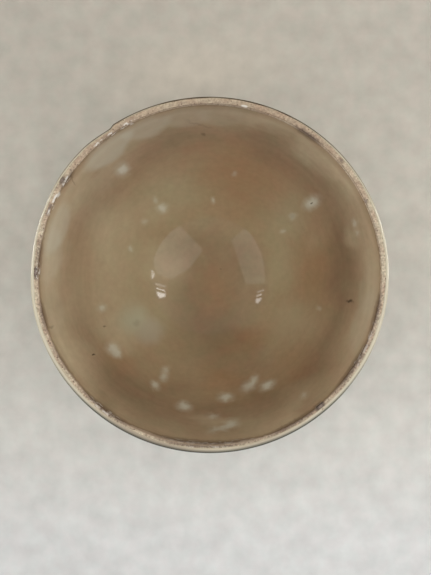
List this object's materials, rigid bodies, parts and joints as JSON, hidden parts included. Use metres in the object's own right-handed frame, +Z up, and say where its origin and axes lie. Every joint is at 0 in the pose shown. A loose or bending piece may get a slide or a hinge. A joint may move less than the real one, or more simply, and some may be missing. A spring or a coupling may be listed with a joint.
{
  "type": "matcha bowl",
  "caption": "Round stoneware tea bowl with a deep curved well, a bare clay lip, glaze inside and outside and a trimmed foot ring, for whisking and drinking matcha.",
  "frame": {"origin": "centre of the face that the foot ring stands on", "axes": "+Z up, along the axis that the bowl was turned about; +X and +Y alike"},
  "size_m": [0.122, 0.122, 0.074],
  "materials": {
    "bare_stoneware": "bare fired clay, fine grain",
    "trimmed_stoneware": "bare fired clay, knife trimmed",
    "brown_olive_glaze": "glossy mottled glaze",
    "grey_green_glaze": "glossy glaze"
  },
  "bodies": {
    "root": {"stoneware_body": "bare_stoneware", "foot_ring": "trimmed_stoneware", "inner_glaze": "brown_olive_glaze", "outer_glaze": "grey_green_glaze"}
  },
  "joints": []
}
